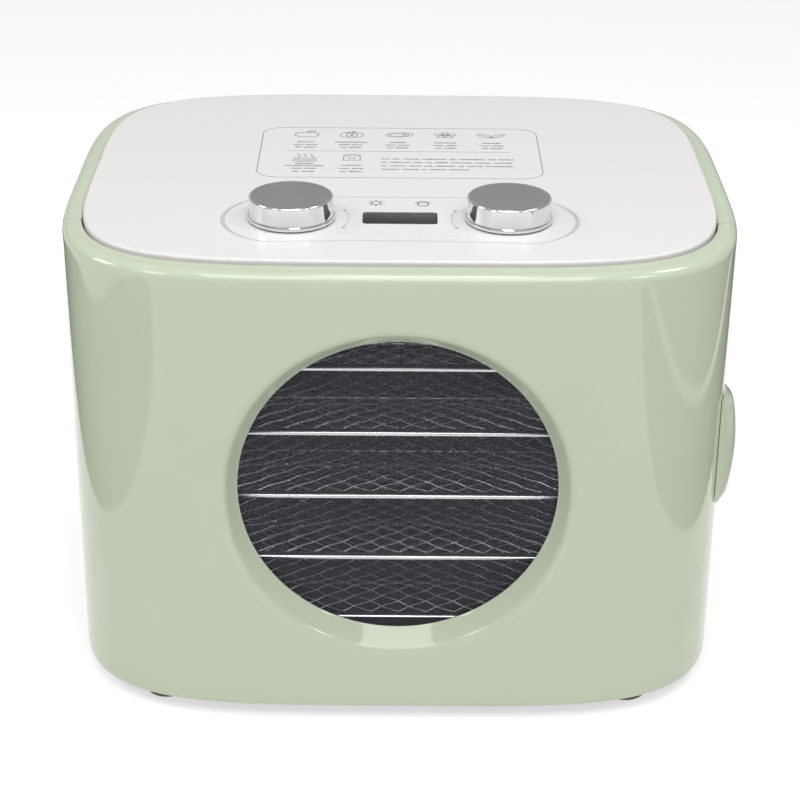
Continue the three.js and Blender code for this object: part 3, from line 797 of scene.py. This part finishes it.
class Print:
    """Flat strokes of ink lying on the panel."""

    HEIGHT = 0.05
    BLOCK_PITCH = 1.05

    def __init__(self):
        self.skin = Skin()

    def stroke(self, points, width=0.5, closed=False):
        points = np.asarray(points, float)
        ahead = np.roll(points, -1, axis=0) - points
        behind = points - np.roll(points, 1, axis=0)
        if not closed:
            ahead[-1], behind[0] = behind[-1], ahead[0]
        ahead /= np.linalg.norm(ahead, axis=1)[:, None] + 1e-12
        behind /= np.linalg.norm(behind, axis=1)[:, None] + 1e-12
        along = ahead + behind
        along /= np.linalg.norm(along, axis=1)[:, None] + 1e-12
        normal = np.stack([-along[:, 1], along[:, 0]], axis=1)
        stretch = 1 / np.clip((normal * np.stack([-ahead[:, 1], ahead[:, 0]], axis=1)).sum(1), 0.5, 1)
        offset = normal * (np.asarray(width) / 2 * stretch)[:, None]
        left, right = points + offset, points - offset
        top, bottom = PANEL_TOP + self.HEIGHT, PANEL_TOP - 0.02
        edges = ((left, top), (right, top), (right, bottom), (left, bottom))
        rows = np.stack([at_height(edge, z) for edge, z in edges], axis=1)
        if closed:
            rows = np.concatenate([rows, rows[:1]])
            self.skin.grid(rows, closed=True)
        else:
            self.skin.loft(rows)
        return self

    def fill(self, points):
        """A filled convex shape."""
        points = np.asarray(points, float)
        self.skin.loft([at_height(points, PANEL_TOP - 0.02), at_height(points, PANEL_TOP + self.HEIGHT)])
        return self

    def bar(self, x, y, width, height):
        return self.fill([(x, y), (x + width, y), (x + width, y + height), (x, y + height)])

    def words(self, x, y, widths, height=1.7, gap=1.2):
        """A line of text, as rows of plain upright blocks from x."""
        for width in widths:
            count = max(2, round(width / self.BLOCK_PITCH))
            pitch = width / count
            for i in range(count):
                tall = height * chance.choice((0.72, 0.72, 0.86, 1.0))
                self.bar(x + i * pitch, y, pitch * chance.uniform(0.66, 0.9), tall)
            x += width + gap
        return self

    def done(self, name, material):
        printed = self.skin.piece(name, weld=1e-5)
        place(printed, "housing", "panel_white", material)


def arc_points(x, y, radius, start, end, steps=24, squash=1.0):
    """Points round a centre, the angles in turns."""
    turn = np.linspace(start, end, steps + 1) * 2 * np.pi
    return np.stack([x + radius * np.cos(turn), y + radius * squash * np.sin(turn)], axis=1)


def circle_points(x, y, radius, steps=24, squash=1.0):
    return arc_points(x, y, radius, 0, 1, steps, squash)[:-1]


def leaf_points(x, y, length, width, tilt):
    share = np.linspace(0, 1, 13)
    along, across = share * length, width * np.sin(np.pi * share)
    loop = np.concatenate([np.stack([along, across], 1), np.stack([along, -across], 1)[-2:0:-1]])
    turn = np.array([[math.cos(tilt), math.sin(tilt)], [-math.sin(tilt), math.cos(tilt)]])
    return loop @ turn + [x, y]


def apple_icon(ink, x, y):
    turn = np.linspace(0, 2 * np.pi, 32, endpoint=False)
    radius = 4.6 * (1 - 0.16 * np.cos(turn - np.pi / 2) ** 12 - 0.08 * np.cos(turn + np.pi / 2) ** 12)
    around = np.stack([x + radius * 1.08 * np.cos(turn), y - 0.6 + radius * 0.92 * np.sin(turn)], axis=1)
    ink.stroke(around, 0.6, True)
    ink.stroke([(x, y + 2.6), (x + 0.4, y + 4.4), (x + 1.4, y + 5.4)], 0.6)
    ink.stroke(leaf_points(x + 0.6, y + 4.2, 3.4, 0.9, 0.35), 0.45, True)


def pepper_icon(ink, x, y):
    for shift in (-2.5, 0, 2.5):
        squash = 1.75 if shift == 0 else 1.6
        ink.stroke(circle_points(x + shift, y - 0.7, 2.3, 20, squash), 0.5, True)
    ink.stroke([(x, y + 3.1), (x + 0.3, y + 4.6), (x + 1.5, y + 5.4)], 0.7)
    ink.stroke(arc_points(x, y + 2.6, 2.2, 0.02, 0.48, 10, 0.5), 0.5)


def steak_icon(ink, x, y):
    turn = np.linspace(0, 2 * np.pi, 32, endpoint=False)
    radius = 5.6 + 0.7 * np.cos(turn) + 0.5 * np.sin(2 * turn)
    around = np.stack([radius * np.cos(turn), 0.62 * radius * np.sin(turn)], axis=1)
    for scale in (1.0, 0.72):
        ink.stroke(scale * around + [x, y], 0.5, True)
    ink.stroke(circle_points(x + 2.6, y + 0.4, 0.9, 12), 0.45, True)


def flower_icon(ink, x, y):
    for i in range(5):
        angle = math.pi / 2 + 2 * math.pi * i / 5
        petal = leaf_points(x + 0.9 * math.cos(angle), y + 0.9 * math.sin(angle), 4.1, 1.5, angle)
        ink.stroke(petal, 0.5, True)
    ink.stroke(circle_points(x, y, 0.9, 12), 0.5, True)


def herb_icon(ink, x, y):
    for side in (-1, 1):
        tilt = math.pi / 2 - side * 0.75
        ink.stroke(leaf_points(x, y - 3.8, 8.4, 2.0, tilt), 0.5, True)
        tip = np.array([math.cos(tilt), math.sin(tilt)])
        ink.stroke([(x, y - 3.8), np.array([x, y - 3.8]) + 6.6 * tip], 0.4)


def bread_icon(ink, x, y):
    for row in range(3):
        ink.stroke(arc_points(x, y - 4.6 + 1.6 * row, 5.2 - 0.5 * row, 0.53, 0.97, 14, 0.5), 0.5)
    ink.stroke([(x - 5.0, y - 1.4), (x + 5.0, y - 1.4)], 0.5)
    share = np.linspace(0, 1, 12)
    for shift in (-2.6, 0, 2.6):
        steam = np.stack([x + shift + 0.7 * np.sin(share * 2 * np.pi), y + 0.2 + 4.4 * share], axis=1)
        ink.stroke(steam, 0.5)


def carton_icon(ink, x, y):
    ink.stroke([(x - 3.4, y - 4.4), (x + 3.4, y - 4.4), (x + 3.4, y + 2.4), (x - 3.4, y + 2.4)], 0.5, True)
    ink.stroke([(x - 3.4, y + 2.4), (x - 2.0, y + 4.6), (x + 2.0, y + 4.6), (x + 3.4, y + 2.4)], 0.5)
    ink.stroke(circle_points(x, y - 1.2, 1.5, 14), 0.45, True)


class Grown:
    """Draws into a print with every point scaled about one place."""

    WIDE, TALL = 1.32, 1.1

    def __init__(self, ink, x, y):
        self.ink = ink
        self.centre = np.array([x, y])

    def stroke(self, points, width=0.5, closed=False):
        away = (np.asarray(points, float) - self.centre) * [self.WIDE, self.TALL]
        self.ink.stroke(self.centre + away, width, closed)


def print_lines(ink, x, lines):
    """Lines of text under an icon, each centred on x, as (y, word widths)."""
    gap = 1.2
    for y, widths in lines:
        ink.words(x - (sum(widths) + gap * (len(widths) - 1)) / 2, y, widths, gap=gap)


def print_guide():
    """The food guide: a thin frame, seven icons, and text lines as plain blocks."""
    ink = Print()
    left, right, low, high = -76.4, 76.2, -12.6, 70.8
    top_row, bottom_row = 59, 20
    frame_points = rounded_rectangle((right - left) / 2, (high - low) / 2, 11)
    ink.stroke(frame_points + [(left + right) / 2, (low + high) / 2], 0.42, True)
    range_words, hour_words = (5.6, 6.5), (3.2, 6.9)
    top_icons = (
        (apple_icon, -52.0, 9.3),
        (pepper_icon, -26.9, 18.0),
        (steak_icon, -1.2, 8.7),
        (flower_icon, 25.1, 12.7),
        (herb_icon, 50.8, 10.0),
    )
    for icon, x, title in top_icons:
        icon(Grown(ink, x, top_row), x, top_row)
        print_lines(ink, x, ((45.0, (title,)), (40.4, range_words), (36.0, hour_words)))
    ink.bar(-62, 30.3, 122, 0.32)
    bread_lines = ((8.6, (10.0,)), (5.2, (21.0,)), (1.0, range_words), (-3.9, hour_words))
    carton_lines = ((6.3, (11.0,)), (1.2, range_words), (-3.7, hour_words))
    for icon, x, lines in ((bread_icon, -51.5, bread_lines), (carton_icon, -26.1, carton_lines)):
        icon(Grown(ink, x, bottom_row), x, bottom_row)
        print_lines(ink, x, lines)
    note = (
        (5, 4, 9, 13, 4, 14, 4, 8.5),
        (3.5, 11, 5, 3.5, 7, 12, 8.5, 10),
        (3.5, 9, 6, 5, 10.5, 3.5, 8.5, 14.5),
        (10, 9, 3, 8.5, 11),
    )
    for row, widths in enumerate(note):
        ink.words(-10.3, 17.2 - 5.6 * row, widths, 1.6, 1.5)
    ink.done("guide_print", INK)


def print_dials():
    """The line that runs round both knobs and the display."""
    knob_x, knob_y = centre_of("timer_knob")[:2]
    radius = 34.5
    leave = 0.19
    thin, thick = 0.8, 2.3
    points, widths = [], []
    for side, start, end in ((1, -leave, leave), (-1, 0.5 - leave, 0.5 + leave)):
        arc = arc_points(side * knob_x, knob_y, radius, start, end, 48)
        outward = np.clip((side * (arc[:, 0] - side * knob_x) / radius - 0.35) / 0.65, 0, 1)
        points.append(arc)
        widths.append(thin + (thick - thin) * outward**1.5)
        first, last = arc[-1], arc[-1] * [-1, 1]
        share = np.linspace(0, 1, 14)[1:-1]
        bow = 2.2 * np.sin(np.pi * share) * (0 if side > 0 else 1)
        points.append(np.stack([first[0] + (last[0] - first[0]) * share, first[1] + bow], axis=1))
        widths.append(np.full(len(share), thin))
    ring = Print().stroke(np.concatenate(points), np.concatenate(widths), True)
    for side, inward in ((-1, 0.0), (1, 0.5)):
        scale_mark = arc_points(side * 60.5, knob_y + 0.5, 34.6, inward - 0.058, inward + 0.058, 16)
        ring.stroke(scale_mark, 0.5)
        for end in (scale_mark[0], scale_mark[-1]):
            ring.fill(circle_points(end[0], end[1], 1.1, 16))
    ring.done("dial_ring_print", RING_INK)


def print_keys():
    """Sun and pot marks above the display, and faint marks for mode and power below it."""
    ink = Print()
    sun = np.array([-12.3, -51])
    ink.stroke(circle_points(sun[0], sun[1], 2.3, 24), 0.7, True)
    for i in range(8):
        ray = np.array([math.cos(2 * math.pi * i / 8), math.sin(2 * math.pi * i / 8)])
        ink.stroke([sun + 3.5 * ray, sun + 4.5 * ray], 0.7)
    ink.stroke([(8.7, -50.2), (9.6, -54.6), (13.8, -54.6), (14.7, -50.2)], 0.6)
    ink.stroke([(7.6, -50.2), (15.8, -50.2)], 0.6)
    ink.stroke(arc_points(11.7, -50.2, 2.4, 0.02, 0.48, 12, 0.8), 0.5)
    ink.done("key_print", KEY_INK)
    faint = Print()
    for dx in (-1, 1):
        for dy in (-1, 1):
            square = rounded_rectangle(1.5, 1.5, 0.5, 3) + [-12.4 + 2.1 * dx, -92.4 + 2.1 * dy]
            faint.stroke(square, 0.5, True)
    faint.stroke(arc_points(12.3, -93.3, 3.2, 0.32, 1.18, 24), 0.6)
    faint.stroke([(12.3, -92.6), (12.3, -89.2)], 0.6)
    faint.words(-26.8, -94.8, (3.4, 3.6), 1.5, 0.5)
    faint.words(18.6, -96.6, (4.6, 4.2), 1.5, 0.5)
    for x in (-32.5, 21.0):
        faint.words(x, -55.2, (3.6, 7.4), 1.4, 1.0)
    faint.done("key_print_faint", FAINT_INK)


print_guide()
print_dials()
print_keys()


# ---- Trays ----
HALF_PITCH = np.array([7.35, 5.5])
WIRE_RADIUS = 0.3
WEAVE = 0.42
TRIM_WIDTH = 6.0
TRAY_CORNER = 18.0
FINE_STEP = 0.02
SHORTEST_WIRE = 3.0
# One wave of the sheet from front to back, as places and heights.
CORRUGATION = ((0, 28, 38, 60, 70), (0, 0, -3, -3, 0))


def inside_tray(x, y, half, corner):
    """Whether points lie inside a rounded rectangle about the origin."""
    dx = np.maximum(np.abs(x) - (half[0] - corner), 0)
    dy = np.maximum(np.abs(y) - (half[1] - corner), 0)
    return np.hypot(dx, dy) < corner


def wire_tube(skin, points, side, sides=5):
    """A thin wire through points. side is the level direction across it."""
    up = np.array([0, 0, 1])
    rings = []
    for k in range(sides):
        angle = 2 * math.pi * k / sides + math.pi / 2
        rings.append(points + WIRE_RADIUS * (math.cos(angle) * side + math.sin(angle) * up))
    skin.loft(np.stack(rings, axis=1))


def trim_section(height):
    """The frame's section: a round bead along the outer edge and a flat strip inside it."""
    half_width, radius = TRIM_WIDTH / 2, height / 2
    centre = radius - half_width
    section = []
    for i in range(13):
        angle = math.radians(-90 - 230 * i / 12)
        section.append((centre + radius * math.cos(angle), radius * math.sin(angle)))
    strip = radius * 0.55
    section += [(centre + radius + 0.1, strip), (half_width - 0.4, strip), (half_width, strip - 0.4)]
    return section + [(half_width, -radius + 0.4), (half_width - 0.4, -radius)]


def make_tray_trim(node_name, body):
    low, high = box_mm(node_name)
    half = (high[:2] - low[:2]) / 2
    centre = centre_of(node_name)
    rings = []
    for across, up in trim_section(high[2] - low[2]):
        inset = TRIM_WIDTH / 2 + across
        loop = rounded_rectangle(half[0] - inset, half[1] - inset, TRAY_CORNER - inset, 10)
        rings.append(at_height(loop + centre[:2], centre[2] + up))
    rings.append(rings[0])
    trim = Skin().grid(rings, closed=True).piece(node_name + "_trim")
    place(trim, body, "tray_steel", TRIM, nodes=[node_name], angle=50)


def weave_reach(inner):
    """How many wires it takes to cover the frame's inside from its middle out."""
    return int(inner[0] / HALF_PITCH[0] + inner[1] / HALF_PITCH[1]) + 2


def wire_crossings(across, family, inner, corner):
    """Where one wire of the weave runs inside the frame, as x, y and the place u along the wire."""

    def at(u):
        return HALF_PITCH[0] * (u + across) / 2, family * HALF_PITCH[1] * (u - across) / 2

    reach = weave_reach(inner)
    fine = np.arange(-reach, reach, FINE_STEP)
    within = fine[inside_tray(*at(fine), inner, corner)]
    if len(within) * FINE_STEP < SHORTEST_WIRE:
        return None
    first, last = within[0], within[-1]
    along = np.arange(-reach, reach + 0.01, 1.0)
    along = along[(along > first + 0.2) & (along < last - 0.2)]
    u = np.concatenate([[first], along, [last]])
    return *at(u), u


def make_tray_wires(frame_node, mesh_node, body):
    """The corrugated weave: two families of wires that pass over and under each other."""
    low, high = box_mm(frame_node)
    centre = centre_of(frame_node)
    inner = (high[:2] - low[:2]) / 2 - TRIM_WIDTH + 0.5
    corner = TRAY_CORNER - TRIM_WIDTH + 0.5
    reach = weave_reach(inner)
    skin = Skin()
    for family in (1, -1):
        side = np.array([family * HALF_PITCH[1], -HALF_PITCH[0], 0]) / np.hypot(*HALF_PITCH)
        for index in range(-reach, reach + 1):
            wire = wire_crossings(2 * index + 1, family, inner, corner)
            if wire is None:
                continue
            x, y, u = wire
            run = (y + centre[1]) - (low[1] + TRIM_WIDTH)
            z = low[2] + 1.3 + np.interp(run % CORRUGATION[0][-1], *CORRUGATION)
            # The crossings are at the odd values of u.
            z = z + family * WEAVE * np.sin(np.pi * u / 2 + np.pi * index)
            wire_tube(skin, np.stack([x + centre[0], y + centre[1], z], axis=1), side)
    wires = skin.piece(mesh_node + "_wires", weld=1e-6)
    place(wires, body, "tray_steel", WIRE, nodes=[mesh_node], angle=80)


for level in TRAY_LEVELS:
    make_tray_trim(f"tray_{level}_frame", f"tray_{level}")
    make_tray_wires(f"tray_{level}_frame", f"tray_{level}_mesh", f"tray_{level}")


# ---- Feet and rear ----
def make_feet():
    for row in ("front", "rear"):
        for side in ("left", "right"):
            name = f"foot_{row}_{side}"
            low, high = box_mm(name)
            radius = (high[0] - low[0]) / 2
            edge = 1.0
            profile = [(radius - 5, low[2]), (radius - edge - 0.2, low[2])]
            for inset, rise in quarter_round(edge, 6)[1:]:
                profile.append((radius - inset, low[2] + rise))
            profile += [(radius, high[2] - 0.5), (radius - 0.5, high[2])]
            foot = Skin().loft(turned(profile, centre_of(name)[:2], "z", 64)).piece(name + "_pad")
            place(foot, "housing", "foot_rubber", RUBBER, nodes=[name])


def make_rear_cover():
    low, high = box_mm("rear_cover")
    half = (high[0] - low[0]) / 2
    middle_z = centre_of("rear_cover")[2]
    outer_round, slot_pitch = 1.0, 9
    levels = [(0.3, low[1]), (0, low[1] + 0.3)]
    levels += [(inset, high[1] - drop) for drop, inset in quarter_round(outer_round, 5)]
    rings = []
    for inset, y in levels:
        points = rounded_rectangle(half - inset, half - inset, COVER_CORNER - inset, 10)
        rings.append(upright(points, y, (0, middle_z)))
    cover = Skin().loft(rings).piece("rear_vent_cover")
    slot = rounded_rectangle(48, 1.6, 1.5, 5)
    for row in range(-5, 6):
        hole = standing(slot, low[1] - 10, high[1] + 10, (0, middle_z + slot_pitch * row))
        boolean(cover, hole, "DIFFERENCE")
    place(cover, "housing", "body_green", GREEN, nodes=["rear_cover"])


def make_screws():
    for height in ("upper", "lower"):
        for side in ("left", "right"):
            name = f"cover_screw_{height}_{side}"
            low, high = box_mm(name)
            x, z = centre_of(name)[[0, 2]]
            radius, base = (high[0] - low[0]) / 2, low[1] + 0.15
            profile = [(radius - 0.1, low[1]), (radius, base)]
            for i in range(1, 7):
                angle = math.pi / 2 * (1 - i / 8)
                dome = (high[1] - base) * math.cos(angle) ** 0.8
                profile.append((radius * math.sin(angle), base + dome))
            screw = Skin().loft(turned(profile, (x, z), "y", 40)).piece(name + "_head")
            for across, up in ((1.7, 0.32), (0.32, 1.7)):
                arm_low = (x - across, high[1] - 0.7, z - up)
                arm_high = (x + across, high[1] + 1, z + up)
                boolean(screw, block(arm_low, arm_high), "DIFFERENCE")
            place(screw, "housing", "steel_part", STEEL, nodes=[name])


make_feet()
make_rear_cover()
make_screws()


# ---- Finishes of the CAD nodes that stay ----
SLOT_FINISH = {
    "body_green": GREEN,
    "panel_white": WHITE,
    "base_plastic": BASE,
    "foot_rubber": RUBBER,
    "display_black": LENS,
    "circuit_board": BOARD,
    "steel_part": STEEL,
    "chamber_dark": CHAMBER,
    "tray_steel": TRIM,
    "ceramic_white": CERAMIC,
    "magnet_dark": MAGNET,
    "window_glass": GLASS,
    "knob_chrome": CHROME,
}
for part in frame["record"]["subparts"]:
    carried = frame["nodes"][part["node"]]
    carried.data.materials.clear()
    carried.data.materials.append(SLOT_FINISH[part["material_slot"]])


# ---- Studio ----
SKY_EVEN = 0.45
SKY_FRONT_RISE = 0.25
SKY_SIDE_FALL = -0.15
FLOOR_GLOW = 0.61
CARD_END = 2500
# The dark cards' near edges in plan, from left to right. Each card runs back from there to CARD_END.
CARDS = {
    "right": [(333, -250), (358, -336), (387, -416), (467, -583), (511, -680)],
    "far_right": [(541, -700), (1500, -900)],
    "left": [(-690, -700), (-484, -559), (-405, -458), (-367, -339), (-352, -221)],
}


def sheet(name, corners, top, thick):
    """A flat slab for the stage, in millimetres."""
    corners = np.array(corners)
    return Skin().loft([at_height(corners, top - thick), at_height(corners, top)]).piece(name)


def make_floor():
    """A pale table with a little light of its own, so that the shadows on it stay soft."""
    shader = next(n for n in FLOOR.node_tree.nodes if n.type == "BSDF_PRINCIPLED")
    shader.inputs["Emission Color"].default_value = (1.0, 1.0, 1.0, 1.0)
    shader.inputs["Emission Strength"].default_value = FLOOR_GLOW
    reach = 6000.0
    corners = [(-reach, -reach), (reach, -reach), (reach, reach), (-reach, reach)]
    floor = sheet("studio_floor", corners, -0.05, 20)
    floor.data.materials.append(FLOOR)


def make_cards():
    """Dark strips beside the table that only show as soft shapes in the glossy shell."""
    dark = bpy.data.materials.new("reflection_card")
    dark.use_nodes = True
    shader = next(n for n in dark.node_tree.nodes if n.type == "BSDF_PRINCIPLED")
    shader.inputs["Base Color"].default_value = (0.02, 0.02, 0.02, 1.0)
    shader.inputs["Roughness"].default_value = 0.9
    for side, edge in CARDS.items():
        corners = [(edge[0][0], CARD_END)] + edge + [(edge[-1][0], CARD_END)]
        card = sheet(f"card_{side}", corners, 0.4, 0.4)
        card.data.materials.append(dark)
        card.visible_camera = False
        card.visible_diffuse = False
        card.visible_shadow = False
        card.visible_transmission = False


def joined(tree, operation, first, second):
    """The sum or product of two values."""
    maths = node(tree, "Math", operation=operation)
    tree.links.new(first, maths.inputs[0])
    tree.links.new(second, maths.inputs[1])
    return maths.outputs["Value"]


def make_sky():
    """An even white surround, brighter in front and above, where the studio's lamps hang."""
    world = bpy.data.worlds.new("studio_world")
    world.use_nodes = True
    tree = world.node_tree
    background = next(n for n in tree.nodes if n.type == "BACKGROUND")
    background.inputs["Color"].default_value = (1.0, 1.0, 1.0, 1.0)
    split = node(tree, "SeparateXYZ")
    tree.links.new(node(tree, "TexCoord").outputs["Generated"], split.inputs["Vector"])
    ahead = ranged(tree, split.outputs["Y"], -0.75, 0.0, SKY_FRONT_RISE, 0.0, "SMOOTHSTEP")
    lifted = ranged(tree, split.outputs["Z"], 0.0, 0.35, 0.2, 1.0, "SMOOTHSTEP")
    front = joined(tree, "MULTIPLY", ahead, lifted)
    sideways = node(tree, "Math", operation="ABSOLUTE")
    tree.links.new(split.outputs["X"], sideways.inputs[0])
    side = ranged(tree, sideways.outputs["Value"], 0.45, 0.95, 0.0, SKY_SIDE_FALL, "SMOOTHSTEP")
    total = node(tree, "Math", operation="ADD")
    total.inputs[1].default_value = SKY_EVEN
    tree.links.new(joined(tree, "ADD", front, side), total.inputs[0])
    tree.links.new(total.outputs["Value"], background.inputs["Strength"])
    bpy.context.scene.world = world


def softbox(name, place_at, size, power):
    """A square lamp aimed at the body's middle, in metres and watts."""
    data = bpy.data.lights.new(name, "AREA")
    data.shape = "RECTANGLE"
    data.size, data.size_y = size, size
    data.energy = power
    light = bpy.data.objects.new(name, data)
    light.location = place_at
    aim = Vector((0, 0, 0.12)) - Vector(place_at)
    light.rotation_euler = aim.to_track_quat("-Z", "Y").to_euler()
    light.visible_camera = False
    bpy.context.scene.collection.objects.link(light)
    return light


def light_trays_only(light):
    """Keeps a lamp's light to the woven trays, which would otherwise sink into the dark chamber."""
    trays = bpy.data.collections.new(light.name + "_trays")
    for level in TRAY_LEVELS:
        trays.objects.link(bpy.data.objects[f"tray_{level}_mesh_wires"])
    light.light_linking.receiver_collection = trays


make_floor()
make_cards()
make_sky()
softbox("overhead_right", (0.81, -0.10, 1.26), 0.34, 3.8)
softbox("overhead_left", (-1.13, -0.06, 1.0), 0.34, 3.8)
softbox("overhead_middle", (0.05, -0.15, 1.6), 0.3, 2.8)
softbox("key_right", (0.95, -0.95, 1.25), 0.3, 2.2)
softbox("key_left", (-0.95, -0.95, 1.25), 0.3, 2.2)
softbox("front_top", (0, -0.8, 1.5), 1.0, 12)
light_trays_only(softbox("tray_lamp_right", (0.55, -0.75, 1.15), 0.25, 13))
light_trays_only(softbox("tray_lamp_left", (-0.55, -0.75, 1.15), 0.25, 13))
bpy.context.scene.view_settings.view_transform = "Standard"
